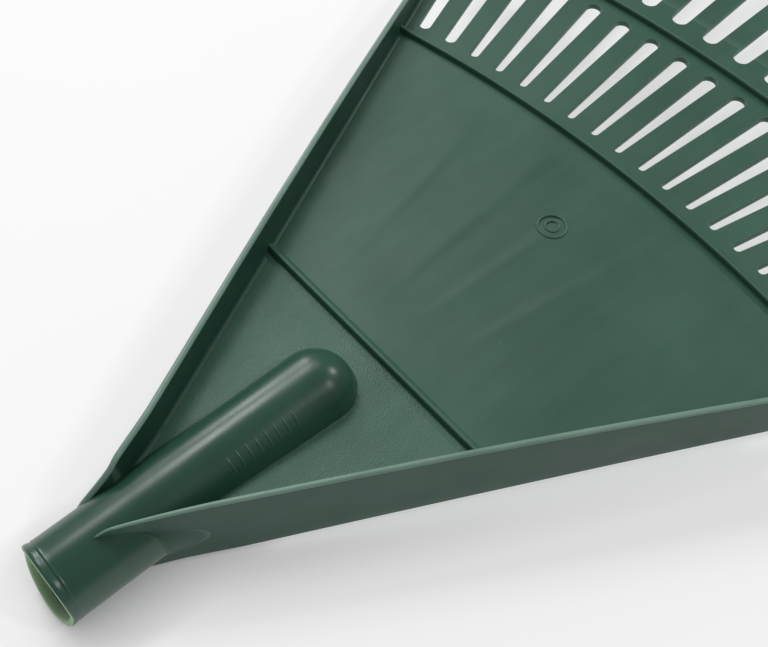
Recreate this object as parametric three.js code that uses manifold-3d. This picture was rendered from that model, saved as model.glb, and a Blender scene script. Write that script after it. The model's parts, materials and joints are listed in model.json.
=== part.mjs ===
// Leaf rake head, a fan-shaped plastic moulding: a blind handle socket, a flat fan stiffened by
// two side flanges and three cross ribs, a web with radial slots, and springy tines with hooked
// tips. Each region of the moulding is a solid of its own.
//
// Modelling frame, in millimetres: the top face of the fan is z = 0, the tine axes meet at the
// origin, +X runs along the middle of the fan to the tips, and +Y is its left side. At the end
// the head is stood on its socket mouth and its tine tips, over the middle of its own footprint.

import * as THREE from 'three';
import { mergeVertices } from 'three/addons/utils/BufferGeometryUtils.js';
import Module from 'manifold-3d';

const wasm = await Module();
wasm.setup();

const { cos, sin, tan, asin, atan2, sqrt, max, min, PI } = Math;
const radians = THREE.MathUtils.degToRad;

// ---- Driving dimensions -------------------------------------------------------------------

const CLEARANCE = 0.3; // between neighbouring solids
const FAN_THICKNESS = 2.4;
const CROSS_ARC_STEPS = 24;

// Tines: all axes meet at the origin, a constant angle apart.
const TINE_COUNT = 20;
const TINE_PITCH = radians(2.807);
const TINE_WIDTH = 9.4;
const TINE_TIP_THICKNESS = 2.0;
const TINE_DROOP = radians(9); // slope gained over the springy length
const TINE_HOOK_ANGLE = radians(62); // slope of the tip, from the fan
const TINE_HOOK_RADIUS = 22;
const TINE_STRAIGHT = 22; // level length next to the root
const TINE_DROP = 40; // from the fan's top face to the lowest point of a tip

// Cross arcs share one centre on the middle line, and are given by their radius about it.
const ARC_CENTRE_X = -302;
const INNER_RIB_RADIUS = 551.5;
const SLOT_START_RADIUS = 560.5;
const SLOT_END_RADIUS = 625;
const OUTER_RIB_RADIUS = 630.5;
const TINE_GAP_RADIUS = 641.5; // where the open gaps between the tines start
const TINE_ROOT_RADIUS = 645;
const TINE_HOOK_ARC_RADIUS = 807; // where the hooks start to bend down
const END_SLOT_WIDTH = 5; // inner width of the two slots nearest to each flange

const RIB_WIDTH = 2.6;
const RIB_HEIGHT = 3; // above the fan
const THROAT_RIB_X = 118;

// Side flanges: straight in plan, with an arched top edge and a rising bottom edge.
const FLANGE_ANGLE = radians(27.4);
const FLANGE_OFFSET = 0.9; // of the outer faces from the origin, along Y
const FLANGE_THICKNESS = 2.5;
const FLANGE_START_X = 9;
const FLANGE_CREST_X = 128;
const FLANGE_CREST_HEIGHT = 14.8;
const FLANGE_ARCH = 5.1; // drop of the top edge over one arch length from the crest
const FLANGE_ARCH_LENGTH = 130;
const FLANGE_LEVEL_DEPTH = 22.6; // of the bottom edge beside the socket
const FLANGE_LEVEL_END_X = 46;
const FLANGE_TOE_DEPTH = 5.6; // of the bottom edge at the tine roots
const FLANGE_RISE_SHAPE = 1.35; // 1 is a straight rise of the bottom edge, more is a rounder one
const FLANGE_STATIONS = 18;

// Handle socket: a round tube with a blind rounded end, tilted down towards its mouth. The upper
// half of the mouth is cut square, and the lower half on a slant, so that it stands out below.
const SOCKET_RADIUS = 14.5;
const SOCKET_BORE_RADIUS = 12;
const SOCKET_BORE_DEPTH = 97;
const SOCKET_LIP_RADIUS = 15.1;
const SOCKET_LIP_LENGTH = 3.2;
const SOCKET_MOUTH_X = -13;
const SOCKET_MOUTH_Z = -8.9;
const SOCKET_DOME_X = 93.3; // centre of the rounded end
const SOCKET_TILT = radians(4.5);
const SOCKET_MOUTH_SLANT = radians(15); // of the lower half of the mouth, from square
const SOCKET_OVERRUN = 10; // length of tube that is made beyond the mouth, then cut off
const SOCKET_SIDES = 36;

// ---- Materials ----------------------------------------------------------------------------

const GREEN = 0x2f4f41;

function greenPlastic(roughness) {
  return new THREE.MeshStandardMaterial({ color: GREEN, roughness, metalness: 0 });
}

// ---- Solids ---------------------------------------------------------------------------------

function toSolid(geometry) {
  const bare = geometry.index ? geometry.toNonIndexed() : geometry.clone();
  bare.deleteAttribute('normal');
  bare.deleteAttribute('uv');
  const merged = mergeVertices(bare, 1e-4);
  const vertProperties = new Float32Array(merged.attributes.position.array);
  const triVerts = new Uint32Array(merged.index.array);
  return new wasm.Manifold(new wasm.Mesh({ numProp: 3, vertProperties, triVerts }));
}

function toGeometry(solid) {
  const mesh = solid.getMesh();
  const geometry = new THREE.BufferGeometry();
  geometry.setAttribute('position', new THREE.BufferAttribute(mesh.vertProperties, 3));
  geometry.setIndex(new THREE.BufferAttribute(mesh.triVerts, 1));
  return geometry;
}

// The largest piece that is left of a body after another body is cut from it.
function cut(geometry, tool) {
  const pieces = toSolid(geometry).subtract(tool).decompose();
  pieces.sort((a, b) => b.volume() - a.volume());
  return toGeometry(pieces[0]);
}

// A plan outline made into a plate with its top face at the given height.
function plate(outline, top, thickness, holes = []) {
  const shape = new THREE.Shape(outline);
  shape.holes = holes.map((hole) => new THREE.Path(hole));
  const geometry = new THREE.ExtrudeGeometry(shape, { depth: thickness, bevelEnabled: false });
  return geometry.translate(0, 0, top - thickness);
}

// ---- Plan layout ----------------------------------------------------------------------------

function polar(radius, angle) {
  return new THREE.Vector2(radius * cos(angle), radius * sin(angle));
}

function arcPoint(radius, angle) {
  return polar(radius, angle).add(new THREE.Vector2(ARC_CENTRE_X, 0));
}

// Distance from the origin, along a ray, at which the ray meets a cross arc.
function reach(radius, angle) {
  return ARC_CENTRE_X * cos(angle) + sqrt(radius ** 2 - (ARC_CENTRE_X * sin(angle)) ** 2);
}

// Y of the line that runs a given distance inside the left flange's outer face.
function flangeY(x, inset) {
  return FLANGE_OFFSET + x * tan(FLANGE_ANGLE) - inset / cos(FLANGE_ANGLE);
}

const FAN_INSET = FLANGE_THICKNESS + CLEARANCE;

// Angle, about the arcs' centre, at which a cross arc meets the side of the fan.
function sideAngle(radius) {
  const offset = flangeY(ARC_CENTRE_X, FAN_INSET) * cos(FLANGE_ANGLE);
  return FLANGE_ANGLE + asin(offset / radius);
}

// A cross arc from the right side of the fan to its left side.
function crossArc(radius) {
  const side = sideAngle(radius);
  return Array.from({ length: CROSS_ARC_STEPS + 1 }, (_, i) => (
    arcPoint(radius, side * (2 * i / CROSS_ARC_STEPS - 1))
  ));
}

function crossBand(innerRadius, outerRadius) {
  return [...crossArc(outerRadius), ...crossArc(innerRadius).reverse()];
}

function crossRib(radius) {
  const outline = crossBand(radius, radius + RIB_WIDTH);
  return plate(outline, RIB_HEIGHT, RIB_HEIGHT + FAN_THICKNESS);
}

// Angles of the tine axes, or of the gaps between them, from right to left.
function fanAngles(count) {
  return Array.from({ length: count }, (_, i) => (i - (count - 1) / 2) * TINE_PITCH);
}

// ---- Handle socket --------------------------------------------------------------------------

function socketFrame() {
  const frame = new THREE.Group();
  frame.position.set(SOCKET_MOUTH_X, 0, SOCKET_MOUTH_Z);
  frame.rotation.y = -SOCKET_TILT;
  return frame;
}

const SOCKET_DOME_Y = (SOCKET_DOME_X - SOCKET_MOUTH_X) / cos(SOCKET_TILT);
const DOME_STEPS = 8;

// A round body along the socket's axis, from a profile of radius and distance from the mouth.
function turned(profile) {
  return toSolid(new THREE.LatheGeometry(profile, SOCKET_SIDES).rotateZ(-PI / 2));
}

function rod(radius, start, end) {
  const corners = [[0, start], [radius, start], [radius, end], [0, end]];
  return turned(corners.map(([across, along]) => new THREE.Vector2(across, along)));
}

function roundEndedRod(radius, start) {
  const profile = [new THREE.Vector2(0, start), new THREE.Vector2(radius, start)];
  for (let i = 0; i <= DOME_STEPS; i += 1) {
    profile.push(polar(radius, PI / 2 * i / DOME_STEPS).add(new THREE.Vector2(0, SOCKET_DOME_Y)));
  }
  profile[profile.length - 1].x = 0;
  return turned(profile);
}

// A block that takes up all the room in front of a line that follows the mouth.
function beforeMouth(distance) {
  const outward = [-cos(SOCKET_MOUTH_SLANT), 0, sin(SOCKET_MOUTH_SLANT)];
  return rod(2 * SOCKET_LIP_RADIUS, -2 * SOCKET_OVERRUN, SOCKET_OVERRUN)
    .trimByPlane([-1, 0, 0], -distance)
    .trimByPlane(outward, -distance * cos(SOCKET_MOUTH_SLANT));
}

function socketGeometry() {
  const lip = rod(SOCKET_LIP_RADIUS, -SOCKET_OVERRUN, SOCKET_OVERRUN);
  const solid = roundEndedRod(SOCKET_RADIUS, -SOCKET_OVERRUN)
    .add(lip.intersect(beforeMouth(SOCKET_LIP_LENGTH)))
    .subtract(rod(SOCKET_BORE_RADIUS, -SOCKET_OVERRUN, SOCKET_BORE_DEPTH))
    .subtract(beforeMouth(0));
  return toGeometry(solid);
}

// The socket's outside, one clearance larger, to cut its neighbours with.
function socketEnvelope() {
  const frame = socketFrame();
  frame.updateMatrix();
  return roundEndedRod(SOCKET_RADIUS + CLEARANCE, 0).transform(frame.matrix.toArray());
}

// ---- Fan ------------------------------------------------------------------------------------

// Half of the triangle between the socket, a flange and the throat rib.
function throatGeometry(side, envelope) {
  const end = THROAT_RIB_X - CLEARANCE;
  const seam = CLEARANCE / 2;
  const start = (FAN_INSET / cos(FLANGE_ANGLE) - FLANGE_OFFSET + seam) / tan(FLANGE_ANGLE);
  const outline = [
    new THREE.Vector2(start, seam),
    new THREE.Vector2(end, seam),
    new THREE.Vector2(end, flangeY(end, FAN_INSET)),
  ];
  outline.forEach((point) => { point.y *= side; });
  return cut(plate(outline, 0, FAN_THICKNESS), envelope);
}

function throatRibGeometry() {
  const near = flangeY(THROAT_RIB_X, FAN_INSET);
  const far = flangeY(THROAT_RIB_X + RIB_WIDTH, FAN_INSET);
  const outline = [
    new THREE.Vector2(THROAT_RIB_X, -near),
    new THREE.Vector2(THROAT_RIB_X + RIB_WIDTH, -far),
    new THREE.Vector2(THROAT_RIB_X + RIB_WIDTH, far),
    new THREE.Vector2(THROAT_RIB_X, near),
  ];
  return plate(outline, RIB_HEIGHT, RIB_HEIGHT + FAN_THICKNESS);
}

function fanPanelGeometry() {
  const start = THROAT_RIB_X + RIB_WIDTH + CLEARANCE;
  const side = flangeY(start, FAN_INSET);
  const outline = [
    new THREE.Vector2(start, side),
    new THREE.Vector2(start, -side),
    ...crossArc(INNER_RIB_RADIUS - CLEARANCE),
  ];
  return plate(outline, 0, FAN_THICKNESS);
}

// A radial slot: its sides are the sides of the tines next to it, and its ends are round.
function slotOutline(angle, isEndSlot) {
  const start = reach(SLOT_START_RADIUS, angle);
  const end = reach(SLOT_END_RADIUS, angle);
  const halfWidth = (distance) => distance * sin(TINE_PITCH / 2) - TINE_WIDTH / 2;
  const inner = isEndSlot ? END_SLOT_WIDTH / 2 : halfWidth(start);
  const outer = halfWidth(end);
  const round = (centre, radius, from) => Array.from({ length: 6 }, (_, i) => (
    polar(radius, from + PI * i / 5).add(new THREE.Vector2(centre, 0))
  ));
  const outline = [...round(end - outer, outer, -PI / 2), ...round(start + inner, inner, PI / 2)];
  return outline.map((point) => point.rotateAround(new THREE.Vector2(0, 0), angle));
}

function slottedWebGeometry() {
  const outline = crossBand(INNER_RIB_RADIUS + RIB_WIDTH + CLEARANCE, OUTER_RIB_RADIUS - CLEARANCE);
  const angles = fanAngles(TINE_COUNT - 1);
  const isEndSlot = (i) => min(i, angles.length - 1 - i) < 2;
  const slots = angles.map((angle, i) => slotOutline(angle, isEndSlot(i)));
  return plate(outline, 0, FAN_THICKNESS, slots);
}

// The bar beyond the outer rib, whose stubs carry the tines.
function tineBarGeometry() {
  const inner = crossArc(OUTER_RIB_RADIUS + RIB_WIDTH + CLEARANCE).reverse();
  const angles = fanAngles(TINE_COUNT);
  const comb = [];
  angles.forEach((angle, i) => {
    const root = reach(TINE_ROOT_RADIUS, angle);
    const isFirst = i === 0;
    const isLast = i === TINE_COUNT - 1;
    const right = isFirst ? -(TINE_WIDTH / 2 - FAN_INSET) : -TINE_WIDTH / 2;
    const left = isLast ? TINE_WIDTH / 2 - FAN_INSET : TINE_WIDTH / 2;
    const gapRight = reach(TINE_GAP_RADIUS, angle - TINE_PITCH / 2);
    const gapLeft = reach(TINE_GAP_RADIUS, angle + TINE_PITCH / 2);
    const corners = [];
    if (!isFirst) corners.push(new THREE.Vector2(gapRight, right));
    corners.push(new THREE.Vector2(root, right), new THREE.Vector2(root, left));
    if (!isLast) corners.push(new THREE.Vector2(gapLeft, left));
    comb.push(...corners.map((point) => point.rotateAround(new THREE.Vector2(0, 0), angle)));
  });
  return plate([...comb, ...inner], 0, FAN_THICKNESS);
}

// ---- Side flanges ---------------------------------------------------------------------------

function flangeTop(x) {
  return FLANGE_CREST_HEIGHT - FLANGE_ARCH * ((x - FLANGE_CREST_X) / FLANGE_ARCH_LENGTH) ** 2;
}

function flangeBottom(x, endX) {
  const rise = max(0, (x - FLANGE_LEVEL_END_X) / (endX - FLANGE_LEVEL_END_X));
  const ease = 1 - (1 - rise) ** FLANGE_RISE_SHAPE;
  return -FLANGE_LEVEL_DEPTH + (FLANGE_LEVEL_DEPTH - FLANGE_TOE_DEPTH) * ease;
}

// Drawn upright along the flange's outer face, then turned to its angle in plan.
function flangeGeometry(side, envelope) {
  const rootAngle = (TINE_COUNT - 1) / 2 * TINE_PITCH;
  const root = reach(TINE_ROOT_RADIUS, rootAngle) - FLANGE_OFFSET * sin(rootAngle);
  const endX = root / (cos(rootAngle) + tan(FLANGE_ANGLE) * sin(rootAngle));
  const stations = Array.from({ length: FLANGE_STATIONS + 1 }, (_, i) => (
    FLANGE_START_X + (endX - FLANGE_START_X) * i / FLANGE_STATIONS
  ));
  const along = (x) => x / cos(FLANGE_ANGLE);
  const outline = [
    ...stations.map((x) => new THREE.Vector2(along(x), flangeBottom(x, endX))),
    ...stations.reverse().map((x) => new THREE.Vector2(along(x), flangeTop(x))),
  ];
  const shape = new THREE.Shape(outline);
  const geometry = new THREE.ExtrudeGeometry(shape, { depth: FLANGE_THICKNESS, bevelEnabled: false });
  geometry.rotateX(PI / 2);
  if (side < 0) geometry.translate(0, FLANGE_THICKNESS, 0);
  geometry.rotateZ(side * FLANGE_ANGLE);
  geometry.translate(0, side * FLANGE_OFFSET, 0);
  return cut(geometry, envelope);
}

// ---- Tines ----------------------------------------------------------------------------------

// The middle of a tine's thickness, seen from the side, as places with a slope and a thickness.
function tinePath(angle) {
  const hookStart = reach(TINE_HOOK_ARC_RADIUS, angle);
  const springy = hookStart - tineHinge(angle) - TINE_STRAIGHT;
  const hookBend = TINE_HOOK_ANGLE - TINE_DROOP;
  const stages = [
    { length: TINE_STRAIGHT, bend: 0, steps: 1 },
    { length: springy, bend: TINE_DROOP, steps: 4 },
    { length: TINE_HOOK_RADIUS * hookBend, bend: hookBend, steps: 5 },
  ];
  const total = stages.reduce((sum, stage) => sum + stage.length, 0);
  const path = [{ x: 0, z: 0, slope: 0, thickness: FAN_THICKNESS }];
  let walked = 0;
  for (const { length, bend, steps } of stages) {
    for (let i = 0; i < steps; i += 1) {
      const last = path[path.length - 1];
      const slope = last.slope + bend / steps;
      const heading = (last.slope + slope) / 2;
      const step = length / steps;
      walked += step;
      path.push({
        x: last.x + step * cos(heading),
        z: last.z - step * sin(heading),
        slope,
        thickness: FAN_THICKNESS + (TINE_TIP_THICKNESS - FAN_THICKNESS) * walked / total,
      });
    }
  }
  const bent = path[path.length - 1];
  const lowest = -TINE_DROP + FAN_THICKNESS / 2 + bent.thickness / 2 * cos(bent.slope);
  const tip = (bent.z - lowest) / sin(bent.slope);
  path.push({ ...bent, x: bent.x + tip * cos(bent.slope), z: lowest });
  return path;
}

// Distance of a tine's hinge line from the origin: its round root just clears its stub.
function tineHinge(angle) {
  return reach(TINE_ROOT_RADIUS, angle) + CLEARANCE + FAN_THICKNESS / 2;
}

function tineGeometry(angle) {
  const offset = ({ x, z, slope, thickness }, side) => new THREE.Vector2(
    x + side * thickness / 2 * sin(slope),
    z + side * thickness / 2 * cos(slope),
  );
  const path = tinePath(angle);
  const root = [1, 2, 3].map((i) => polar(FAN_THICKNESS / 2, PI / 2 + PI * i / 4));
  const top = path.map((place) => offset(place, 1)).reverse();
  const bottom = path.map((place) => offset(place, -1));
  const shape = new THREE.Shape([...top, ...root, ...bottom]);
  const geometry = new THREE.ExtrudeGeometry(shape, { depth: TINE_WIDTH, bevelEnabled: false });
  return geometry.translate(0, 0, -TINE_WIDTH / 2).rotateX(PI / 2);
}

// ---- Assembly -------------------------------------------------------------------------------

const head = new THREE.Group();

function addPiece(name, geometry, roughness, parent = head) {
  const mesh = new THREE.Mesh(geometry, greenPlastic(roughness));
  mesh.name = name;
  parent.add(mesh);
  return mesh;
}

const SMOOTH = 0.38;
const SATIN = 0.46;
const GRAINED = 0.55;

const socket = socketFrame();
head.add(socket);
addPiece('handle_socket', socketGeometry(), SMOOTH, socket);

const envelope = socketEnvelope();
for (const [name, side] of [['left', 1], ['right', -1]]) {
  addPiece(`throat_panel_${name}`, throatGeometry(side, envelope), GRAINED);
  addPiece(`side_flange_${name}`, flangeGeometry(side, envelope), SATIN);
}
addPiece('throat_rib', throatRibGeometry(), SATIN);
addPiece('fan_panel', fanPanelGeometry(), SATIN);
addPiece('inner_arc_rib', crossRib(INNER_RIB_RADIUS), SATIN);
addPiece('slotted_web', slottedWebGeometry(), SATIN);
addPiece('outer_arc_rib', crossRib(OUTER_RIB_RADIUS), SATIN);
addPiece('tine_root_bar', tineBarGeometry(), SATIN);

// Numbered from the left side of the fan; each mesh has its origin on its hinge line.
fanAngles(TINE_COUNT).reverse().forEach((angle, i) => {
  const number = String(i + 1).padStart(2, '0');
  const tine = addPiece(`tine_${number}`, tineGeometry(angle), SATIN);
  const hinge = polar(tineHinge(angle), angle);
  tine.position.set(hinge.x, hinge.y, -FAN_THICKNESS / 2);
  tine.rotation.z = angle;
});

// Stood on the lowest point of the socket's lip and on the tips of the outermost tines.
const lipOverhang = SOCKET_LIP_RADIUS * tan(SOCKET_MOUTH_SLANT);
const lipLow = {
  x: SOCKET_MOUTH_X - lipOverhang * cos(SOCKET_TILT) + SOCKET_LIP_RADIUS * sin(SOCKET_TILT),
  z: SOCKET_MOUTH_Z - lipOverhang * sin(SOCKET_TILT) - SOCKET_LIP_RADIUS * cos(SOCKET_TILT),
};
const outerAngle = (TINE_COUNT - 1) / 2 * TINE_PITCH;
const outerPath = tinePath(outerAngle);
const outerTip = outerPath[outerPath.length - 1];
const tipX = (tineHinge(outerAngle) + outerTip.x) * cos(outerAngle);
head.rotation.y = -atan2(lipLow.z + TINE_DROP, tipX - lipLow.x);

const bounds = new THREE.Box3().setFromObject(head, true);
const middle = bounds.getCenter(new THREE.Vector3());
head.position.set(-middle.x, -middle.y, -bounds.min.z);

const rake = new THREE.Group();
rake.add(head);

export default rake;
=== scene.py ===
import json
import math

import bpy
import numpy as np
from mathutils import Matrix, Vector
from mathutils.geometry import delaunay_2d_cdt


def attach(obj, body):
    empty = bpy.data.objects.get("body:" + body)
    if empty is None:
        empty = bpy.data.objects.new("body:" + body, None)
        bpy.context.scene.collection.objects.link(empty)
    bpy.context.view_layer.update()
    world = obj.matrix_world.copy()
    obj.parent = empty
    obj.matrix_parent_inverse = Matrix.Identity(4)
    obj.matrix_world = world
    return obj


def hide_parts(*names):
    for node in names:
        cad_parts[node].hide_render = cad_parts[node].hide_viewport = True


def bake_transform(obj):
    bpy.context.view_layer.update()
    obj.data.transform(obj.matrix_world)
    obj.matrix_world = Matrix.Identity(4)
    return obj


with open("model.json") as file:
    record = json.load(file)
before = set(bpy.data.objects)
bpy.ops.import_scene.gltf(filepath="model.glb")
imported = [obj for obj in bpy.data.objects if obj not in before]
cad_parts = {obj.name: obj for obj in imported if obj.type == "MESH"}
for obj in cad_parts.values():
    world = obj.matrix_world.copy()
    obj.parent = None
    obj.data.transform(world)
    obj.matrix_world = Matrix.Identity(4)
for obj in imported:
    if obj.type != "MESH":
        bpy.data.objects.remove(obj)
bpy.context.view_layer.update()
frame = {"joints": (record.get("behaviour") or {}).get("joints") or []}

# Everything is modelled in the head's own frame, in millimetres: the top face of the fan is
# z = 0, the tine axes meet at the origin, +X runs to the tine tips and +Y is the left side.

MM = 0.001

# ---- Sizes shared with the CAD model ---------------------------------------------------------

FAN_THICKNESS = 2.4
CLEARANCE = 0.3
TINE_COUNT = 20
TINE_PITCH = math.radians(2.807)
TINE_WIDTH = 9.4
TINE_TIP_THICKNESS = 2.0
TINE_DROOP = math.radians(9)
TINE_HOOK_ANGLE = math.radians(62)
TINE_HOOK_RADIUS = 22
TINE_STRAIGHT = 22
TINE_DROP = 40
ARC_CENTRE_X = -302
INNER_RIB_RADIUS = 551.5
SLOT_START_RADIUS = 560.5
SLOT_END_RADIUS = 625
OUTER_RIB_RADIUS = 630.5
TINE_GAP_RADIUS = 641.5
TINE_ROOT_RADIUS = 645
TINE_HOOK_ARC_RADIUS = 807
END_SLOT_WIDTH = 5
RIB_WIDTH = 2.6
THROAT_RIB_X = 118
FLANGE_ANGLE = math.radians(27.4)
FLANGE_OFFSET = 0.9
FLANGE_THICKNESS = 2.5
FLANGE_CREST_X = 128
FLANGE_CREST_HEIGHT = 14.8
FLANGE_ARCH = 5.1        # drop of the top edge over one arch length from the crest
FLANGE_ARCH_LENGTH = 130
FLANGE_LEVEL_DEPTH = 22.6
FLANGE_LEVEL_END_X = 46
FLANGE_TOE_DEPTH = 5.6
FLANGE_RISE_SHAPE = 1.35
SOCKET_RADIUS = 14.5
SOCKET_BORE_RADIUS = 12
SOCKET_BORE_DEPTH = 97
SOCKET_LIP_RADIUS = 15.1
SOCKET_MOUTH_X = -13
SOCKET_MOUTH_Z = -8.9
SOCKET_DOME_X = 93.3
SOCKET_TILT = math.radians(4.5)
SOCKET_MOUTH_SLANT = math.radians(15)

# ---- Sizes of the detail that only the visual model has --------------------------------------

EDGE_RADIUS = 0.4        # rounding along the edges of the fan, its slots and the tines
EDGE_STEPS = 3
FLAT_MARGIN = 0.35       # of level plate that follows each rounded edge
STUB_RADIUS = 648.5      # where the pieces that stand for the tines start
PLATE_TUCK = 1.3         # how far the fan runs into the flanges
FLANGE_LEAN = math.radians(2.6)
FLANGE_TIP_X = 4.8       # where each flange rises out of the socket
FLANGE_TOP_COLUMNS = range(7, 14)  # of a flange section's sides, the ones along its top edge, which get the painted highlight
LIT_MOUTH_ROWS = range(10, 17)  # of the socket's profile, the ones at the mouth that get painted light on the rim edge and bore wall
SOCKET_SIDES = 96
GRIP_MARK_COUNT = 8
GRIP_MARK_START = 66     # distance along the socket, of the first and the last mark
GRIP_MARK_END = 92
GRIP_MARK_ANGLE = math.radians(36)  # of each mark's upper end, around the socket
GRIP_MARK_SWEEP = math.radians(26)
GRIP_MARK_HEIGHT = 0.16
RING_MARK_X = 209.4
RING_MARK_Y = 0.6
TINE_TIP_HALF_WIDTH = 4.3
TINE_CORNER = 2.4
PATH_STEP = 0.05
FLOOR_SIZE = 4.0         # half of the floor's side, in metres


# ---- Plan layout -------------------------------------------------------------------------------

def polar(radius, angle):
    """Points at a radius and an angle about the origin."""
    return np.stack([radius * np.cos(angle), radius * np.sin(angle)], -1)


def reach(radius, angle):
    """Distance from the origin, along a ray, at which the ray meets a cross arc."""
    across = ARC_CENTRE_X * np.sin(angle)
    return ARC_CENTRE_X * np.cos(angle) + np.sqrt(radius ** 2 - across ** 2)


def flange_y(x, inset):
    """Y of the line that runs inside the left flange's outer face by the inset."""
    return FLANGE_OFFSET + x * math.tan(FLANGE_ANGLE) - inset / math.cos(FLANGE_ANGLE)


def side_angle(radius, inset):
    """Angle about the arcs' centre at which a cross arc meets the line inside a flange."""
    offset = flange_y(ARC_CENTRE_X, inset) * math.cos(FLANGE_ANGLE)
    return FLANGE_ANGLE + math.asin(offset / radius)


def cross_arc(radius, inset, steps=72):
    """A cross arc from the right flange to the left one."""
    side = side_angle(radius, inset)
    return polar(radius, np.linspace(-side, side, steps + 1)) + (ARC_CENTRE_X, 0)


def fan_angles(count):
    """Angles of the tine axes, or of the gaps between them, from right to left."""
    return (np.arange(count) - (count - 1) / 2) * TINE_PITCH


def turn(points, angle):
    """Plan points turned about the origin."""
    c, s = math.cos(angle), math.sin(angle)
    return np.asarray(points, float) @ np.array([[c, s], [-s, c]])


def smooth_step(value, low, high):
    t = np.clip((value - low) / (high - low), 0, 1)
    return t * t * (3 - 2 * t)


# ---- Where the head stands ---------------------------------------------------------------------

def tine_hinge(angle):
    """Distance from the origin to a tine's hinge line."""
    return reach(TINE_ROOT_RADIUS, angle) + CLEARANCE + FAN_THICKNESS / 2


def head_placement():
    """The head's matrix in the part's frame, read from the hinge of the leftmost tine."""
    joint = next(j for j in frame["joints"] if j["child"] == "tine_01")
    axis, place = Vector(joint["axis"]), Vector(joint["pos_m"])
    angle = fan_angles(TINE_COUNT)[-1]
    hinge = Vector((*polar(tine_hinge(angle), angle), -FAN_THICKNESS / 2))
    turned = Matrix.Rotation(-math.atan2(axis.z, axis.x), 3, "Y")
    matrix = (turned * MM).to_4x4()
    matrix.translation = place - turned @ hinge * MM
    return matrix


HEAD = head_placement()


def to_part(points):
    """Points of the modelling frame, in the part's frame and in metres."""
    matrix = np.array(HEAD)
    return np.asarray(points, float) @ matrix[:3, :3].T + matrix[:3, 3]


# ---- Meshes ------------------------------------------------------------------------------------

def add_piece(name, vertices, faces, material, nodes=(), body="head", sharp=50):
    """A closed, smooth-shaded mesh from points of the modelling frame."""
    mesh = bpy.data.meshes.new(name)
    mesh.from_pydata(to_part(vertices).tolist(), [], [tuple(map(int, f)) for f in faces])
    mesh.validate()
    mesh.shade_smooth()
    mesh.set_sharp_from_angle(angle=math.radians(sharp))
    mesh.materials.append(material)
    piece = bpy.data.objects.new(name, mesh)
    bpy.context.scene.collection.objects.link(piece)
    weighted = piece.modifiers.new("weighted_normals", "WEIGHTED_NORMAL")
    weighted.keep_sharp = True
    weighted.weight = 80
    if nodes:
        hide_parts(*nodes)
    if body:
        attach(piece, body)
    return piece


def grid_faces(rows, columns, closed):
    """Quads between the rows of a grid. A closed grid joins its last column to its first."""
    faces = []
    for r in range(rows - 1):
        for c in range(columns if closed else columns - 1):
            d = (c + 1) % columns
            this, after = r * columns, (r + 1) * columns
            faces.append((this + c, this + d, after + d, after + c))
    return faces


def loft(sections):
    """A closed solid through closed sections of the same number of points, capped at both ends."""
    sections = np.asarray(sections, float)
    rows, columns = sections.shape[:2]
    faces = grid_faces(rows, columns, True)
    faces.append(tuple(range(columns))[::-1])
    faces.append(tuple(range((rows - 1) * columns, rows * columns)))
    return sections.reshape(-1, 3), outward(sections.reshape(-1, 3), faces)


def outward(vertices, faces):
    """The faces, turned round together if the solid that they close is inside out."""
    volume = 0
    for face in faces:
        a = vertices[face[0]]
        for b, c in zip(face[1:-1], face[2:]):
            volume += np.dot(a, np.cross(vertices[b], vertices[c]))
    return [tuple(f)[::-1] for f in faces] if volume < 0 else faces


def inset_directions(loop, flush=()):
    """For each point of a loop, the step into the material that moves both of its edges by one.

    Points that are listed in flush are the two ends of an edge that stays in its plane."""
    ahead = np.roll(loop, -1, 0) - loop
    ahead /= np.linalg.norm(ahead, axis=1, keepdims=True)
    normal = np.stack([-ahead[:, 1], ahead[:, 0]], 1)
    before = np.roll(normal, 1, 0)
    dot = np.sum(normal * before, 1, keepdims=True)
    step = (normal + before) / np.maximum(1 + dot, 0.3)
    step[flush[::2]] = before[flush[::2]]
    step[flush[1::2]] = normal[flush[1::2]]
    return step


def inside(points, loops):
    """Which points lie in the region that the loops bound, by counting crossings."""
    found = np.zeros(len(points), bool)
    x, y = points[:, 0], points[:, 1]
    for loop in loops:
        for (x0, y0), (x1, y1) in zip(loop, np.roll(loop, -1, 0)):
            if y0 != y1:
                crosses = (y0 > y) != (y1 > y)
                found ^= crosses & (x < x0 + (y - y0) * (x1 - x0) / (y1 - y0))
    return found


def edge_profile():
    """Inset and height of the points of a plate's rounded edge, from its top to its underside."""
    turns = np.linspace(0, math.pi / 2, EDGE_STEPS + 1)
    inset = np.r_[EDGE_RADIUS + FLAT_MARGIN, EDGE_RADIUS * (1 - np.sin(turns))]
    depth = np.r_[0, EDGE_RADIUS * (1 - np.cos(turns))]
    return np.r_[inset, inset[::-1]], np.r_[-depth, depth[::-1] - FAN_THICKNESS]


def cap(loops, interior):
    """Triangles, as places in the list of the loops' points and then the interior points."""
    points, ends = np.vstack([*loops, np.reshape(interior, (-1, 2))]), []
    for loop in loops:
        first = len(ends)
        ends.extend((first + i, first + (i + 1) % len(loop)) for i in range(len(loop)))
    plane = [Vector(p) for p in points]
    made, _, triangles, source, _, _ = delaunay_2d_cdt(plane, ends, [], 1, 1e-7)
    centres = np.array([np.mean([made[v] for v in t], 0) for t in triangles])
    in_hole = inside(centres, loops[1:])
    return [[source[v][0] for v in t] for t, hole in zip(triangles, in_hole) if not hole]


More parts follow.
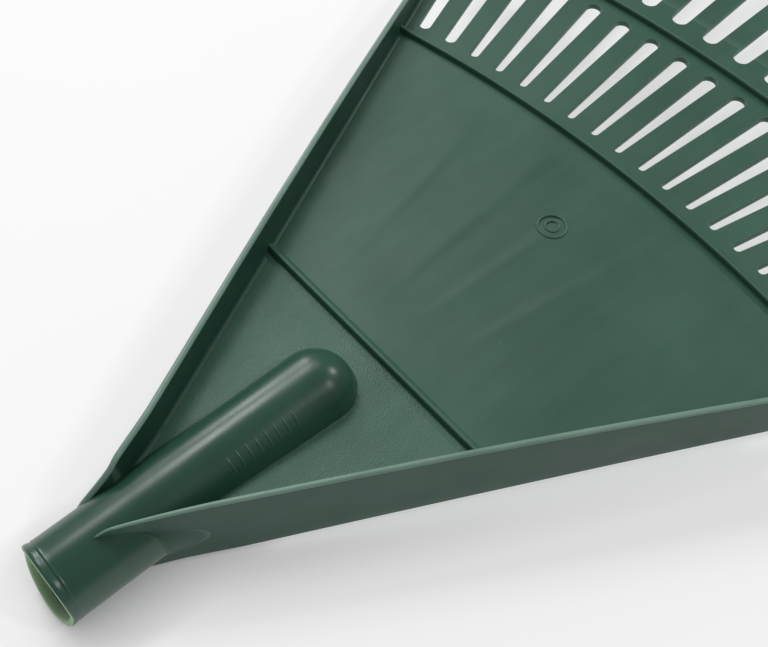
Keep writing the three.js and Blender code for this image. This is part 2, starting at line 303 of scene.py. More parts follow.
def slab(loops, interior=(), flush=()):
    """A plate from z = -FAN_THICKNESS to 0 with rounded edges.

    The first loop is the outline, anticlockwise, and the rest are holes, clockwise. Pairs of
    points that are listed in flush, by their place in the outline, end an edge that stays flat."""
    insets, heights = edge_profile()
    vertices, faces, rims, tops, bottoms = [], [], [], [], []
    for index, loop in enumerate(loops):
        loop = np.asarray(loop, float)
        step = inset_directions(loop, np.array(flush if index == 0 else (), int))
        start, count = len(vertices), len(loop)
        for inset, z in zip(insets, heights):
            vertices.extend(np.column_stack([loop + step * inset, np.full(count, z)]))
        for quad in grid_faces(len(insets), count, True):
            faces.append(tuple(start + q for q in quad)[::-1])
        rims.append(loop + step * insets[0])
        tops += range(start, start + count)
        bottoms += range(len(vertices) - count, len(vertices))
    interior = np.reshape(interior, (-1, 2))
    tops += range(len(vertices), len(vertices) + len(interior))
    vertices.extend(np.column_stack([interior, np.zeros(len(interior))]))
    faces += [tuple(tops[v] for v in t) for t in cap(rims, interior)]
    faces += [tuple(bottoms[v] for v in t)[::-1] for t in cap(rims, ())]
    return np.array(vertices), faces


# ---- Materials ---------------------------------------------------------------------------------

def node_maker(tree):
    def make(kind, **inputs):
        node = tree.nodes.new(kind)
        for key, value in inputs.items():
            socket = key.replace("_", " ")
            if isinstance(value, bpy.types.NodeSocket):
                tree.links.new(value, node.inputs[socket])
            else:
                node.inputs[socket].default_value = value
        return node
    return make


def set_ramp(node, stops):
    ramp = node.color_ramp
    while len(ramp.elements) < len(stops):
        ramp.elements.new(0.5)
    for element, (position, value) in zip(ramp.elements, stops):
        element.position = position
        element.color = (value, value, value, 1)


def green_plastic(name, dark, light, edge_highlight, roughness, grain, grain_size, sheen=0.5):
    """Moulded polypropylene: two greens in soft flow patches and painted sheen streaks, fine grain,
    dust, and a painted highlight on convex edges.
    """
    material = bpy.data.materials.new(name)
    material.use_nodes = True
    tree = material.node_tree
    tree.nodes.clear()
    make = node_maker(tree)
    place = make("ShaderNodeTexCoord").outputs["Object"]

    # the soft patches are random tone; the long streaks mixed in with them are painted sheen bands
    patches = make("ShaderNodeTexNoise", Vector=place, Scale=14.0, Detail=3.0, Roughness=0.55)
    flow = make("ShaderNodeMapping", Vector=place, Scale=(18.0, 160.0, 60.0))
    sheen_streaks = make("ShaderNodeTexNoise", Vector=flow.outputs[0], Scale=1.0, Detail=4.0)
    soft = make("ShaderNodeMath")
    soft.operation = "MULTIPLY_ADD"
    tree.links.new(sheen_streaks.outputs["Fac"], soft.inputs[0])
    soft.inputs[1].default_value = 0.35
    tree.links.new(patches.outputs["Fac"], soft.inputs[2])
    share = make("ShaderNodeValToRGB", Fac=soft.outputs[0])
    set_ramp(share, [(0.5, 0.0), (0.85, 1.0)])
    body = make("ShaderNodeMix")
    body.data_type = "RGBA"
    tree.links.new(share.outputs["Color"], body.inputs[0])
    body.inputs[6].default_value = (*dark, 1)
    body.inputs[7].default_value = (*light, 1)

    # painted highlight: convex edges, found by pointiness, are mixed towards a paler green
    shape = make("ShaderNodeNewGeometry")
    edge_light_mask = make("ShaderNodeValToRGB", Fac=shape.outputs["Pointiness"])
    set_ramp(edge_light_mask, [(0.515, 0.0), (0.6, 0.55)])
    edges = make("ShaderNodeMix")
    edges.data_type = "RGBA"
    tree.links.new(edge_light_mask.outputs["Color"], edges.inputs[0])
    tree.links.new(body.outputs[2], edges.inputs[6])
    edges.inputs[7].default_value = (*edge_highlight, 1)

    specks = make("ShaderNodeTexVoronoi", Vector=place, Scale=260.0, Randomness=1.0)
    dust = make("ShaderNodeValToRGB", Fac=specks.outputs["Distance"])
    set_ramp(dust, [(0.035, 0.35), (0.06, 0.0)])
    rare = make("ShaderNodeTexNoise", Vector=place, Scale=95.0, Detail=1.0)
    rarely = make("ShaderNodeValToRGB", Fac=rare.outputs["Fac"])
    set_ramp(rarely, [(0.6, 0.0), (0.66, 1.0)])
    sparse = make("ShaderNodeMath")
    sparse.operation = "MULTIPLY"
    tree.links.new(dust.outputs["Color"], sparse.inputs[0])
    tree.links.new(rarely.outputs["Color"], sparse.inputs[1])
    dusty = make("ShaderNodeMix")
    dusty.data_type = "RGBA"
    tree.links.new(sparse.outputs[0], dusty.inputs[0])
    tree.links.new(edges.outputs[2], dusty.inputs[6])
    dusty.inputs[7].default_value = (0.42, 0.47, 0.43, 1)

    smears = make("ShaderNodeTexNoise", Vector=place, Scale=32.0, Detail=5.0, Roughness=0.6)
    gloss = make("ShaderNodeMapRange", Value=smears.outputs["Fac"])
    gloss.inputs["From Min"].default_value = 0.3
    gloss.inputs["From Max"].default_value = 0.7
    gloss.inputs["To Min"].default_value = roughness - 0.05
    gloss.inputs["To Max"].default_value = roughness + 0.06

    pebbles = make("ShaderNodeTexNoise", Vector=place, Scale=1 / grain_size, Detail=2.0)
    rough_bump = make("ShaderNodeBump", Strength=grain, Distance=0.0004,
                      Height=pebbles.outputs["Fac"])
    waves = make("ShaderNodeTexNoise", Vector=place, Scale=38.0, Detail=1.0)
    wave_bump = make("ShaderNodeBump", Strength=0.25, Distance=0.0012, Height=waves.outputs["Fac"],
                     Normal=rough_bump.outputs["Normal"])

    shader = make("ShaderNodeBsdfPrincipled", Base_Color=dusty.outputs[2], IOR=1.5,
                  Roughness=gloss.outputs["Result"], Normal=wave_bump.outputs["Normal"])
    shader.inputs["Specular IOR Level"].default_value = sheen
    output = make("ShaderNodeOutputMaterial")
    tree.links.new(shader.outputs["BSDF"], output.inputs["Surface"])
    return material


SMOOTH = green_plastic("smooth_green_plastic", dark=(0.019, 0.070, 0.044),
                       light=(0.030, 0.098, 0.064), edge_highlight=(0.12, 0.22, 0.17),
                       roughness=0.29, grain=0.05, grain_size=0.0007)
SATIN = green_plastic("satin_green_plastic", dark=(0.027, 0.098, 0.063),
                      light=(0.040, 0.128, 0.087), edge_highlight=(0.13, 0.25, 0.19),
                      roughness=0.42, grain=0.08, grain_size=0.0006)
# painted shade: a darker copy of the satin green for the flanges, whose faces stand in shade; the
# lower specular level is a finish setting
SHADED_FLANK = green_plastic("satin_green_flank_painted_shade", dark=(0.016, 0.060, 0.040),
                      light=(0.024, 0.080, 0.055), edge_highlight=(0.12, 0.23, 0.17),
                      roughness=0.45, grain=0.08, grain_size=0.0006, sheen=0.32)
GRAINED = green_plastic("grained_green_plastic", dark=(0.036, 0.110, 0.074),
                        light=(0.064, 0.165, 0.118), edge_highlight=(0.16, 0.28, 0.22),
                        roughness=0.46, grain=0.5, grain_size=0.0006)
# painted highlight: a pale green for the top edges of the flanges
TOP_EDGE_HIGHLIGHT = green_plastic("flange_top_painted_highlight", dark=(0.12, 0.23, 0.18), light=(0.22, 0.35, 0.29),
                     edge_highlight=(0.30, 0.44, 0.37), roughness=0.4, grain=0.05, grain_size=0.0007)
# painted light: a pale green for the mouth's rim edge and the lit bore wall just inside it
LIT_MOUTH = green_plastic("socket_mouth_painted_light", dark=(0.22, 0.40, 0.22), light=(0.36, 0.56, 0.32),
                     edge_highlight=(0.50, 0.66, 0.44), roughness=0.5, grain=0.25, grain_size=0.0009)


# ---- Handle socket -----------------------------------------------------------------------------

def socket_point(along, across, up):
    """Points of the socket's own frame, whose first axis runs from the mouth to the rounded end."""
    c, s = math.cos(SOCKET_TILT), math.sin(SOCKET_TILT)
    return np.stack([SOCKET_MOUTH_X + along * c - up * s, across + 0 * along,
                     SOCKET_MOUTH_Z + along * s + up * c], -1)


def socket_surface(x, y):
    """Height of the socket's upper side over a plan point."""
    axis = SOCKET_MOUTH_Z + (x - SOCKET_MOUTH_X) * math.tan(SOCKET_TILT)
    return axis + np.sqrt(np.maximum(SOCKET_RADIUS ** 2 - np.square(y), 0))


def build_socket():
    dome_start = (SOCKET_DOME_X - SOCKET_MOUTH_X) / math.cos(SOCKET_TILT)
    profile = [(0.02, SOCKET_BORE_DEPTH), (8, SOCKET_BORE_DEPTH), (11.4, SOCKET_BORE_DEPTH - 0.1),
               (SOCKET_BORE_RADIUS - 0.1, SOCKET_BORE_DEPTH - 0.7), (SOCKET_BORE_RADIUS, 92),
               (SOCKET_BORE_RADIUS, 60), (SOCKET_BORE_RADIUS, 30), (SOCKET_BORE_RADIUS, 14),
               (SOCKET_BORE_RADIUS, 9), (SOCKET_BORE_RADIUS, 4), (SOCKET_BORE_RADIUS, 2.9),
               (12.1, 1.8), (12.35, 0.7), (12.7, 0.15), (13.1, 0.0), (13.6, 0.0), (14.1, 0.08),
               (14.5, 0.32), (14.75, 0.7), (14.82, 1.2), (14.75, 1.8), (14.55, 2.5), (14.4, 3.0),
               (14.42, 3.3), (14.62, 3.55), (14.66, 3.8), (14.56, 4.1), (SOCKET_RADIUS, 4.4),
               (SOCKET_RADIUS, 6)]
    body = np.linspace(8, dome_start, 34)
    profile += [(SOCKET_RADIUS, d) for d in body]
    for a in np.radians(np.arange(6, 90, 6)):
        profile.append((SOCKET_RADIUS * math.cos(a), dome_start + SOCKET_RADIUS * math.sin(a)))
    profile.append((0.02, dome_start + SOCKET_RADIUS))
    around = np.arange(SOCKET_SIDES) * 2 * math.pi / SOCKET_SIDES
    rows = []
    for radius, distance in profile:
        up, across = radius * np.sin(around), radius * np.cos(around)
        overhang = math.tan(SOCKET_MOUTH_SLANT) * (np.hypot(up, 1.2) - up - 1.2) / 2
        overhang *= 0.98 * (1 - smooth_step(distance, 6, 26))
        rows.append(socket_point(distance - overhang, across, up))
    vertices, faces = loft(rows)
    socket = add_piece("handle_socket_shell", vertices, faces, SMOOTH,
                       ["handle_socket"])
    # painted light on the rim and the first few millimetres of the bore
    socket.data.materials.append(LIT_MOUTH)
    for polygon in socket.data.polygons:
        if min(v // SOCKET_SIDES for v in polygon.vertices) in LIT_MOUTH_ROWS:
            polygon.material_index = 1


def build_socket_fillet():
    """The soft corner between the socket and the throat."""
    section = [(-0.9, 0.6), (-0.04, 0.6), (0.05, 0.34), (0.16, 0.16), (0.34, 0.05), (0.6, 0.01),
               (0.6, -0.6), (-0.9, -0.6)]
    straight = np.linspace(29.5, SOCKET_DOME_X, 30)
    bend = np.linspace(math.pi / 2, -math.pi / 2, 37)[1:-1]
    rows = []
    for offset, z in section:
        rise = z - (SOCKET_MOUTH_Z + (straight - SOCKET_MOUTH_X) * math.tan(SOCKET_TILT))
        half = np.sqrt(SOCKET_RADIUS ** 2 - (rise * math.cos(SOCKET_TILT)) ** 2) + offset
        end = polar(half[-1], bend) + (SOCKET_DOME_X, 0)
        line = np.vstack([np.column_stack([straight, half]), end,
                          np.column_stack([straight, -half])[::-1]])
        rows.append(np.column_stack([line, np.full(len(line), z)]))
    vertices, faces = loft(np.swapaxes(np.array(rows), 0, 1))
    add_piece("socket_fillet", vertices, faces, SMOOTH, sharp=70)


def build_grip_marks():
    """A row of low ridges, moulded across the upper right side of the socket."""
    for number, along in enumerate(np.linspace(GRIP_MARK_START, GRIP_MARK_END, GRIP_MARK_COUNT)):
        rows = []
        for share in np.linspace(0, 1, 9):
            angle = GRIP_MARK_ANGLE + GRIP_MARK_SWEEP * share
            height = SOCKET_RADIUS + GRIP_MARK_HEIGHT * math.sin(math.pi * share) ** 0.5
            ring = []
            for across, lift in ((-0.5, -0.5), (-0.5, -0.18), (-0.25, -0.03), (0, 0), (0.25, -0.03),
                                 (0.5, -0.18), (0.5, -0.5)):
                radius = height + lift
                ring.append(socket_point(np.array(along + across), -radius * math.cos(angle),
                                         radius * math.sin(angle)))
            rows.append(ring)
        vertices, faces = loft(np.array(rows).reshape(len(rows), -1, 3))
        add_piece(f"grip_mark_{number + 1}", vertices, faces, SMOOTH, sharp=80)


# ---- Fan ---------------------------------------------------------------------------------------

def tube_notch():
    """The outline of the hole that the socket fills, inside the socket's wall."""
    radius = SOCKET_RADIUS - 1.1
    straight = np.linspace(20, SOCKET_DOME_X, 24)
    axis = SOCKET_MOUTH_Z + (straight - SOCKET_MOUTH_X) * math.tan(SOCKET_TILT)
    half = np.sqrt(radius ** 2 - axis ** 2)
    start = next(i for i, x in enumerate(straight) if flange_y(x, PLATE_TUCK) > half[i] + 2.2)
    left = np.column_stack([straight, half])[start:]
    bend = np.linspace(math.pi / 2, -math.pi / 2, 25)[1:-1]
    end = polar(half[-1], bend) + (SOCKET_DOME_X, 0)
    return np.vstack([left, end, left[::-1] * (1, -1)])


def build_throat():
    end = THROAT_RIB_X + RIB_WIDTH / 2
    notch = tube_notch()
    start = notch[0, 0]
    near, far = flange_y(start, PLATE_TUCK), flange_y(end, PLATE_TUCK)
    outline = np.vstack([[(start, -near), (end, -far), (end, far), (start, near)], notch])
    vertices, faces = slab([outline])
    add_piece("throat_skin", vertices, faces, GRAINED,
              ["throat_panel_left", "throat_panel_right"])


def slot_loop(angle, is_end_slot):
    """A radial slot, clockwise, between the sides of the tines next to it."""
    start, end = reach(SLOT_START_RADIUS, angle), reach(SLOT_END_RADIUS, angle)
    half = math.sin(TINE_PITCH / 2)
    inner = END_SLOT_WIDTH / 2 if is_end_slot else start * half - TINE_WIDTH / 2
    outer = end * half - TINE_WIDTH / 2
    bend = np.linspace(-math.pi / 2, math.pi / 2, 15)
    outer_end = polar(outer, bend) + (end - outer, 0)
    inner_end = polar(inner, bend + math.pi) + (start + inner, 0)
    return turn(np.vstack([outer_end, inner_end]), angle)[::-1]


def comb():
    """The plan of the bar that carries the tines, from right to left, and its flat tine roots."""
    points, flush = [], []
    half = TINE_WIDTH / 2
    for i, angle in enumerate(fan_angles(TINE_COUNT)):
        root = reach(STUB_RADIUS, angle)
        right = -(half - PLATE_TUCK) if i == 0 else -half
        left = half - PLATE_TUCK if i == TINE_COUNT - 1 else half
        flush += [len(points), len(points) + 1]
        points += list(turn([(root, right), (root, left)], angle))
        if i < TINE_COUNT - 1:
            gap = angle + TINE_PITCH / 2
            start = reach(TINE_GAP_RADIUS, gap)
            radius = start * math.sin(TINE_PITCH / 2) - half
            bend = np.linspace(-math.pi / 2, -3 * math.pi / 2, 15)
            points += list(turn(polar(radius, bend) + (start + radius, 0), gap))
    return np.array(points), flush


def flute_height(x, y):
    """Shallow radial creases and a slight waviness of the fan's top face."""
    angle, radius = np.degrees(np.arctan2(y, x)), np.hypot(x, y)
    fade = smooth_step(x, 122, 185) * (1 - smooth_step(radius, 225, 246))
    height = np.zeros_like(radius)
    for place, depth, tail in ((14.7, 0.24, 1), (6.5, 0.3, 1), (0.1, 0.34, -1), (-7.3, 0.3, -1)):
        across = np.radians(angle - place) * radius * tail
        height += depth * np.where(across > 0, np.exp(-across / 7), np.exp(-(across / 1.6) ** 2))
    inner = smooth_step(x, 121, 130) * (1 - smooth_step(radius, 238, 248))
    inner *= 1 - smooth_step(np.abs(angle), 21.5, 25)
    waves = 0.10 * np.sin(x / 17 + 1.3) * np.cos(y / 13 + 0.4) + 0.07 * np.sin((x + 2 * y) / 23)
    return (height * fade + waves) * inner - 0.12 * inner


def build_fan():
    start = THROAT_RIB_X + RIB_WIDTH / 2
    teeth, flush = comb()
    end = teeth[0, 0] - 4
    right = np.array([(start, -flange_y(start, PLATE_TUCK)), (end, -flange_y(end, PLATE_TUCK))])
    outline = np.vstack([right, teeth, right[::-1] * (1, -1)])
    flush = [place + len(right) for place in flush]
    gaps = fan_angles(TINE_COUNT - 1)
    slots = [slot_loop(a, min(i, len(gaps) - 1 - i) < 2) for i, a in enumerate(gaps)]
    angles = np.radians(np.arange(-24.6, 24.7, 0.6))
    grid = np.array([polar(r, a) for r in np.arange(126, 246, 3.5) for a in angles])
    grid = grid[grid[:, 0] > start + 2]
    grid = grid[np.hypot(grid[:, 0] - ARC_CENTRE_X, grid[:, 1]) < INNER_RIB_RADIUS]
    grid = grid[np.abs(grid[:, 1]) < flange_y(grid[:, 0], FLANGE_THICKNESS + 1)]
    vertices, faces = slab([outline, *slots], grid, flush)
    top = vertices[:, 2] > -1e-6
    vertices[top, 2] += flute_height(vertices[top, 0], vertices[top, 1])
    add_piece("fan_skin", vertices, faces, SATIN,
              ["fan_panel", "slotted_web", "tine_root_bar"])


RIB_SECTION = [(-0.5, -0.8), (-0.45, 0.02), (-0.15, 0.1), (0.0, 0.45), (0.08, 1.4), (0.2, 2.0),
               (0.45, 2.4), (0.8, 2.5), (1.3, 2.46), (1.7, 2.3), (1.95, 1.95), (2.08, 1.5),
               (2.25, 1.2), (2.6, 1.1), (2.95, 0.98), (3.2, 0.6), (3.45, 0.15), (3.75, 0.02),
               (3.8, -0.8)]


def build_rib(name, node, line):
    """A cross rib with a rounded bead and a low step behind it. line(offset) gives plan points."""
    rows = []
    for offset, z in RIB_SECTION:
        points = line(offset)
        side = np.minimum(np.arange(len(points)), np.arange(len(points))[::-1])
        lift = 1 + 0.5 * np.exp(-side / 1.2)
        rows.append(np.column_stack([points, np.where(z > 0.5, z * lift, z)]))
    vertices, faces = loft(np.swapaxes(np.array(rows), 0, 1))
    add_piece(name, vertices, faces, SATIN, [node], sharp=75)


def straight_line(offset):
    x = THROAT_RIB_X + offset
    side = flange_y(x, PLATE_TUCK)
    ease = np.sin(np.linspace(-math.pi / 2, math.pi / 2, 49))
    return np.column_stack([np.full(49, x), side * ease])


def arc_line(radius):
    return lambda offset: cross_arc(radius + offset, PLATE_TUCK, 96)


def build_ring_mark():
    """A plain raised double ring on the fan."""
    level = float(flute_height(np.array(RING_MARK_X), np.array(RING_MARK_Y)))
    for name, radius, width in (("outer", 5.6, 0.42), ("inner", 2.7, 0.36)):
        around = np.arange(64) * 2 * math.pi / 64
        rows = []
        for a in around:
            section = [(-width, -0.5), (-width, 0.1), (-width * 0.6, 0.3), (0, 0.36),
                       (width * 0.6, 0.3), (width, 0.1), (width, -0.5)]
            rows.append([(RING_MARK_X + (radius + u) * math.cos(a),
                          RING_MARK_Y + (radius + u) * math.sin(a), z + level) for u, z in section])
        rows = np.array(rows)
        count = rows.shape[1]
        faces = grid_faces(len(rows), count, True)
        last = (len(rows) - 1) * count
        faces += [(last + c, last + (c + 1) % count, (c + 1) % count, c) for c in range(count)]
        vertices = rows.reshape(-1, 3)
        add_piece(f"ring_mark_{name}", vertices, outward(vertices, faces), SATIN,
                  sharp=70)


# ---- Side flanges ------------------------------------------------------------------------------

def flange_end_x():
    angle = fan_angles(TINE_COUNT)[-1]
    root = reach(STUB_RADIUS, angle) - FLANGE_OFFSET * math.sin(angle)
    return root / (math.cos(angle) + math.tan(FLANGE_ANGLE) * math.sin(angle))


def flange_top(x, end_x):
    arch = FLANGE_CREST_HEIGHT
    arch -= FLANGE_ARCH * ((x - FLANGE_CREST_X) / FLANGE_ARCH_LENGTH) ** 2
    arch += 0.5 * math.exp(-((x - 35) / 18) ** 2) - 1.2 * math.exp(-(x - FLANGE_TIP_X) / 5)
    rise = min(1, (x - FLANGE_TIP_X) / 5)
    y = flange_y(x, 1)
    floor = float(socket_surface(x, y)) if x < 30 else 0
    arch = floor + (arch - floor) * (1 - (1 - rise) ** 2) if rise < 1 else arch
    return arch * (1 - 0.72 * smooth_step(x, end_x - 46, end_x))


def flange_bottom(x, end_x):
    rise = max(0, (x - FLANGE_LEVEL_END_X) / (end_x - FLANGE_LEVEL_END_X))
    climb = (FLANGE_LEVEL_DEPTH - FLANGE_TOE_DEPTH) * (1 - (1 - rise) ** FLANGE_RISE_SHAPE)
    depth = -FLANGE_LEVEL_DEPTH + climb
    depth -= 1.4 * smooth_step(x, 8, 14) * (1 - smooth_step(x, 16, 30))
    return depth + 2.6 * smooth_step(x, end_x - 24, end_x)


def flange_flare(x, side):
    """How far the left flange swings out beside the socket, to follow its side at the front."""
    if side < 0:
        return 0
    ahead = max(0, 22 - x)
    return 1.7 * (1 - smooth_step(x, 16, 44)) + 0.6 * ahead ** 2 / (ahead + 5)


def flange_section(x, end_x, side):
    top, bottom = flange_top(x, end_x), flange_bottom(x, end_x)
    width = FLANGE_THICKNESS - 1.9 * math.exp(-(x - 5) / 22)
    if side > 0:
        width = FLANGE_THICKNESS - 0.5 * math.exp(-(x - 5) / 22)
        ahead = max(0, 25 - x)
        top -= 0.84 * ahead ** 2 / (ahead + 6)
        bottom += 0.8 * ahead ** 2 / (ahead + 4)
    radius = 0.42 * width
    points = []
    for a in np.radians([0, 45, 90]):
        points.append((radius * (1 - math.sin(a)), bottom + radius * (1 - math.cos(a))))
    points += [(0, bottom + (top - bottom) * t) for t in (0.25, 0.5, 0.75)]
    for a in np.radians([0, 22, 45, 67, 90]):
        points.append((radius * (1 - math.cos(a)), top - radius * (1 - math.sin(a))))
    for a in np.radians([90, 67, 45, 22, 0]):
        points.append((width - radius * (1 - math.cos(a)), top - radius * (1 - math.sin(a))))
    base = FLANGE_THICKNESS
    ledge = smooth_step(x, 24, 29)
    corner = ((0, 0, 1.5), (0.4, 0.12, 0.9), (0.6, 0.5, 0.33), (0.8, 1.3, 0),
              (0.9, 1.3, -0.6), (1, 0, -0.9))
    for i, (share, step, z) in enumerate(corner):
        points.append((width + (base - width) * share + step * ledge,
                       min(z, top - radius - 0.3 * (i + 1))))
    points += [(base, min(-FAN_THICKNESS - 0.2, points[-1][1] - 0.3)), (base, bottom + 2.0)]
    for a in np.radians([90, 45, 0]):
        points.append((base - radius * (1 - math.sin(a)), bottom + radius * (1 - math.cos(a))))
    flare = flange_flare(x, side)
    return [(x, side * flange_y(x, n + max(0, top - z) * math.tan(FLANGE_LEAN) - flare), z)
            for n, z in points]


def cut_by_socket(piece):
    """The piece without what would stand inside the socket's wall."""
    around = np.arange(48) * 2 * math.pi / 48
    radius = SOCKET_RADIUS - 1.2
    rows = [socket_point(np.full(48, along), radius * np.cos(around), radius * np.sin(around))
            for along in (-20.0, 20.0, 60.0, 100.0)]
    vertices, faces = loft(rows)
    mesh = bpy.data.meshes.new("socket_core")
    mesh.from_pydata(to_part(vertices).tolist(), [], [tuple(map(int, f)) for f in faces])
    core = bpy.data.objects.new("socket_core", mesh)
    bpy.context.scene.collection.objects.link(core)
    cutter = piece.modifiers.new("cut", "BOOLEAN")
    cutter.operation, cutter.solver, cutter.object = "DIFFERENCE", "EXACT", core
    piece.modifiers.move(len(piece.modifiers) - 1, 0)
    whole = piece.data
    piece.modifiers["weighted_normals"].show_viewport = False
    graph = bpy.context.evaluated_depsgraph_get()
    piece.data = bpy.data.meshes.new_from_object(piece.evaluated_get(graph))
    piece.modifiers["weighted_normals"].show_viewport = True
    piece.modifiers.remove(cutter)
    piece.data.name = whole.name
    bpy.data.objects.remove(core)
    for mesh in (mesh, whole):
        bpy.data.meshes.remove(mesh)


def build_flange(name, side):
    end_x = flange_end_x()
    tip = FLANGE_TIP_X if side < 0 else FLANGE_TIP_X + 2.6
    stations = np.r_[np.linspace(tip, 12, 8), np.linspace(13.5, 45, 24),
                     np.linspace(50, end_x - 48, 40), np.linspace(end_x - 46, end_x, 16)]
    vertices, faces = loft([flange_section(x, end_x, side) for x in stations])
    flange = add_piece(f"{name}_skin", vertices, faces, SHADED_FLANK, [name], sharp=65)
    # painted highlight: the faces along each flange's top edge get the pale material
    flange.data.materials.append(TOP_EDGE_HIGHLIGHT)
    columns = len(vertices) // len(stations)
    for index, polygon in enumerate(flange.data.polygons):
        on_top = index % columns in FLANGE_TOP_COLUMNS and len(polygon.vertices) == 4
        polygon.material_index = int(on_top)
    cut_by_socket(flange)


def build_flange_root(name, side):
    """The web that eases a flange's outer face into the side of the socket."""
    end_x, slope = flange_end_x(), math.tan(FLANGE_ANGLE)
    rows = []
    for share in np.linspace(0.02, 0.98, 33):
        drop = -11.5 + 25 * share
        half = math.sqrt(SOCKET_RADIUS ** 2 - drop ** 2)
        x = (half - FLANGE_OFFSET) / slope
        z = SOCKET_MOUTH_Z + (x - SOCKET_MOUTH_X) * math.tan(SOCKET_TILT) - drop
        lean = (flange_top(x, end_x) - z) * math.tan(FLANGE_LEAN)
        x = (half - flange_y(0, lean) - flange_flare(x, side)) / slope
        size = 8 * math.sin(math.pi * share)
        end_y = flange_y(x + size, lean) + flange_flare(x + size, side)
        corner, start, end = (np.array(p) for p in ((x, half), (x - size, half), (x + size, end_y)))
        curve = [start * (1 - t) ** 2 + corner * 2 * t * (1 - t) + end * t * t
                 for t in np.linspace(0, 1, 9)]
        section = [start - (0, 0.6), *curve, end - (0, 0.6), corner - (0, 0.9)]
        rows.append([(px, side * py, z) for px, py in section])
    vertices, faces = loft(rows)
    add_piece(f"{name}_root", vertices, faces, SHADED_FLANK, sharp=70)


# ---- Tines -------------------------------------------------------------------------------------

def tine_path(angle):
    """Distances along a tine from its root, its course there, and where its parts end."""
    root, hinge = reach(STUB_RADIUS, angle), tine_hinge(angle)
    springy = reach(TINE_HOOK_ARC_RADIUS, angle) - hinge - TINE_STRAIGHT
    hook = TINE_HOOK_RADIUS * (TINE_HOOK_ANGLE - TINE_DROOP)
    straight = hinge - root + TINE_STRAIGHT
    walk = np.arange(0, straight + springy + hook + 60, PATH_STEP)
    slope = TINE_DROOP * np.clip((walk - straight) / springy, 0, 1)
    slope += (TINE_HOOK_ANGLE - TINE_DROOP) * np.clip((walk - straight - springy) / hook, 0, 1)
    x = root + np.r_[0, np.cumsum(PATH_STEP * np.cos(slope[:-1]))]
    z = -FAN_THICKNESS / 2 - np.r_[0, np.cumsum(PATH_STEP * np.sin(slope[:-1]))]
    length = straight + springy + hook
    thick = FAN_THICKNESS + (TINE_TIP_THICKNESS - FAN_THICKNESS) * np.clip(walk / length, 0, 1)
    lowest = -TINE_DROP + 0.05 + TINE_TIP_THICKNESS / 2 * math.cos(TINE_HOOK_ANGLE)
    end = walk[np.argmax(z < lowest)]
    return walk, x, z, slope, thick, straight, straight + springy, end


def build_tine(number, angle):
    walk, x, z, slope, thick, straight, hook, end = tine_path(angle)
    half, corner = TINE_WIDTH / 2, TINE_CORNER
    insets, heights = edge_profile()
    lifts = heights + FAN_THICKNESS / 2
    bend = np.radians([0, 20, 38, 54, 68, 80])
    stations = np.r_[np.linspace(0, straight, 6)[:-1], np.linspace(straight, hook, 30)[:-1],
                     np.linspace(hook, end - corner, 16)[:-1], end - corner + corner * np.sin(bend)]
    rows = []
    for s in stations:
        width = half + (TINE_TIP_HALF_WIDTH - half) * smooth_step(s, hook - 30, end)
        width -= corner - math.sqrt(corner ** 2 - max(0, s - end + corner) ** 2)
        rounding = EDGE_RADIUS - math.sqrt(EDGE_RADIUS ** 2 - max(0, s - end + EDGE_RADIUS) ** 2)
        scale = np.interp(s, walk, thick) / FAN_THICKNESS - rounding * 2 / FAN_THICKNESS
        tilt, level = np.interp(s, walk, slope), lifts * scale
        along = np.interp(s, walk, x) + np.r_[level, level[::-1]] * math.sin(tilt)
        height = np.interp(s, walk, z) + np.r_[level, level[::-1]] * math.cos(tilt)
        across = np.r_[insets - width, (width - insets)[::-1]]
        rows.append(np.column_stack([turn(np.column_stack([along, across]), angle), height]))
    vertices, faces = loft(rows)
    name = f"tine_{number:02d}"
    tine = add_piece(f"{name}_skin", vertices, faces, SATIN, [name], body=None)
    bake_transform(tine)


# ---- Assembly ----------------------------------------------------------------------------------

build_socket()
build_socket_fillet()
build_grip_marks()
build_throat()
build_fan()
build_rib("throat_rib_bead", "throat_rib", straight_line)
build_rib("inner_arc_rib_bead", "inner_arc_rib", arc_line(INNER_RIB_RADIUS))
build_rib("outer_arc_rib_bead", "outer_arc_rib", arc_line(OUTER_RIB_RADIUS))
build_ring_mark()
for flange_name, flange_side in (("side_flange_left", 1), ("side_flange_right", -1)):
    build_flange(flange_name, flange_side)
build_flange_root("side_flange_right", -1)
for index, tine_angle in enumerate(fan_angles(TINE_COUNT)[::-1]):
    build_tine(index + 1, tine_angle)


# ---- Camera, light and floor -------------------------------------------------------------------

def head_direction(vector):
    return (HEAD.to_3x3() @ Vector(vector)).normalized()


CAMERA_AZIMUTH = math.radians(226.285)
CAMERA_ELEVATION = math.radians(54.078)
CAMERA_ROLL = math.radians(3.966)
CAMERA_DISTANCE = 425.3
CAMERA_TARGET = Vector((129.9, 6.24, 0))

back = Vector((math.cos(CAMERA_AZIMUTH) * math.cos(CAMERA_ELEVATION),
               math.sin(CAMERA_AZIMUTH) * math.cos(CAMERA_ELEVATION), math.sin(CAMERA_ELEVATION)))
level = (-back).cross(Vector((0, 0, 1))).normalized()
rise = level.cross(-back)
right = level * math.cos(CAMERA_ROLL) + rise * math.sin(CAMERA_ROLL)
up = rise * math.cos(CAMERA_ROLL) - level * math.sin(CAMERA_ROLL)

camera_data = bpy.data.cameras.new("camera")
camera_data.lens = 55.92
camera_data.sensor_width = 36
camera_data.clip_start = 0.01
camera_data.clip_end = 100
camera = bpy.data.objects.new("camera", camera_data)
bpy.context.scene.collection.objects.link(camera)
axes = Matrix([head_direction(right), head_direction(up), head_direction(back)]).transposed()
eye = HEAD @ (CAMERA_TARGET + back * CAMERA_DISTANCE)
camera.matrix_world = Matrix.Translation(eye) @ axes.to_4x4()
bpy.context.scene.camera = camera


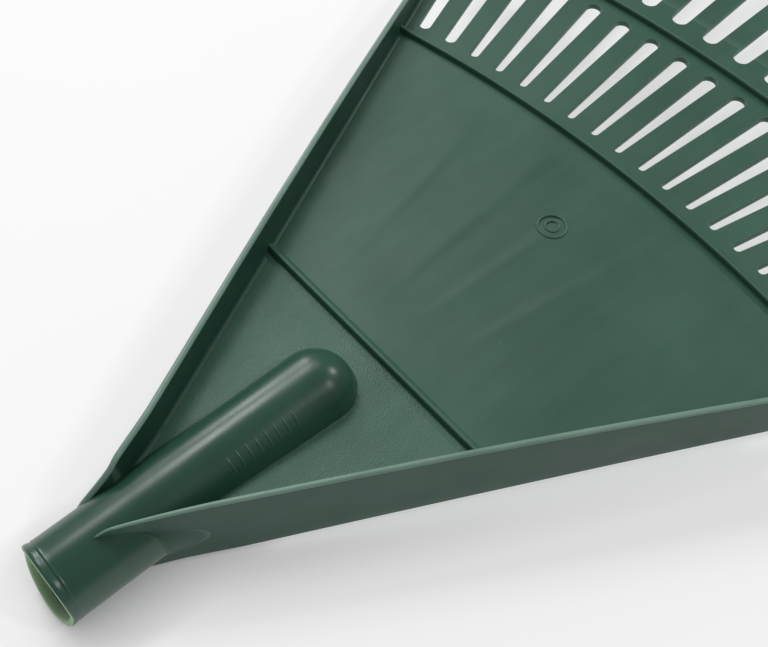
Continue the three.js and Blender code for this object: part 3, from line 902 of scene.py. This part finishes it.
def add_area_light(name, azimuth, elevation, distance, size, power):
    """A square soft light that looks at the middle of the head from far away."""
    turned, raised = math.radians(azimuth), math.radians(elevation)
    back = Vector((math.cos(turned) * math.cos(raised), math.sin(turned) * math.cos(raised),
                   math.sin(raised)))
    data = bpy.data.lights.new(name, "AREA")
    data.shape = "SQUARE"
    data.size = size
    data.energy = power
    light = bpy.data.objects.new(name, data)
    light.location = back * distance
    light.rotation_mode = "QUATERNION"
    light.rotation_quaternion = (-back).to_track_quat("-Z", "Y")
    bpy.context.scene.collection.objects.link(light)


add_area_light("window", azimuth=88, elevation=54, distance=3, size=0.75, power=20)
add_area_light("low_strip", azimuth=78, elevation=30, distance=3, size=0.8, power=18)
add_area_light("far_softbox", azimuth=58, elevation=50, distance=3, size=1.0, power=8)
add_area_light("far_lamp", azimuth=-4, elevation=40, distance=3, size=0.24, power=15)
add_area_light("side_lamp", azimuth=-60, elevation=51, distance=3, size=0.22, power=11)

world = bpy.data.worlds.new("studio")
bpy.context.scene.world = world
world.use_nodes = True
world.node_tree.nodes["Background"].inputs["Color"].default_value = (1, 1, 1, 1)
world.node_tree.nodes["Background"].inputs["Strength"].default_value = 0.22
bpy.context.scene.view_settings.view_transform = "Standard"
bpy.context.scene.view_settings.look = "None"


def build_floor():
    mesh = bpy.data.meshes.new("floor")
    count = 9
    line = np.linspace(-FLOOR_SIZE, FLOOR_SIZE, count)
    vertices = [(x, y, 0.0) for y in line for x in line]
    mesh.from_pydata(vertices, [], grid_faces(count, count, False))
    material = bpy.data.materials.new("glowing_pale_table")
    material.use_nodes = True
    tree = material.node_tree
    make = node_maker(tree)
    shader = tree.nodes["Principled BSDF"]
    place = make("ShaderNodeTexCoord").outputs["Object"]
    mottle = make("ShaderNodeTexNoise", Vector=place, Scale=6.0, Detail=2.0)
    shade = make("ShaderNodeMapRange", Value=mottle.outputs["Fac"])
    shade.inputs["To Min"].default_value = 0.44
    shade.inputs["To Max"].default_value = 0.46
    tree.links.new(shade.outputs["Result"], shader.inputs["Base Color"])
    shader.inputs["Roughness"].default_value = 0.75
    # painted light: the floor glows, which lightens the head's shadow and the floor seen through
    # the slots; ambient occlusion dims the glow where the head is close above, which paints a
    # contact shadow
    shader.inputs["Emission Color"].default_value = (1, 1, 1, 1)
    near = make("ShaderNodeAmbientOcclusion", Distance=0.022)
    near.samples = 8
    glow = make("ShaderNodeMapRange", Value=near.outputs["AO"])
    glow.inputs["To Max"].default_value = 0.59
    tree.links.new(glow.outputs["Result"], shader.inputs["Emission Strength"])
    mesh.materials.append(material)
    floor = bpy.data.objects.new("floor", mesh)
    bpy.context.scene.collection.objects.link(floor)


build_floor()
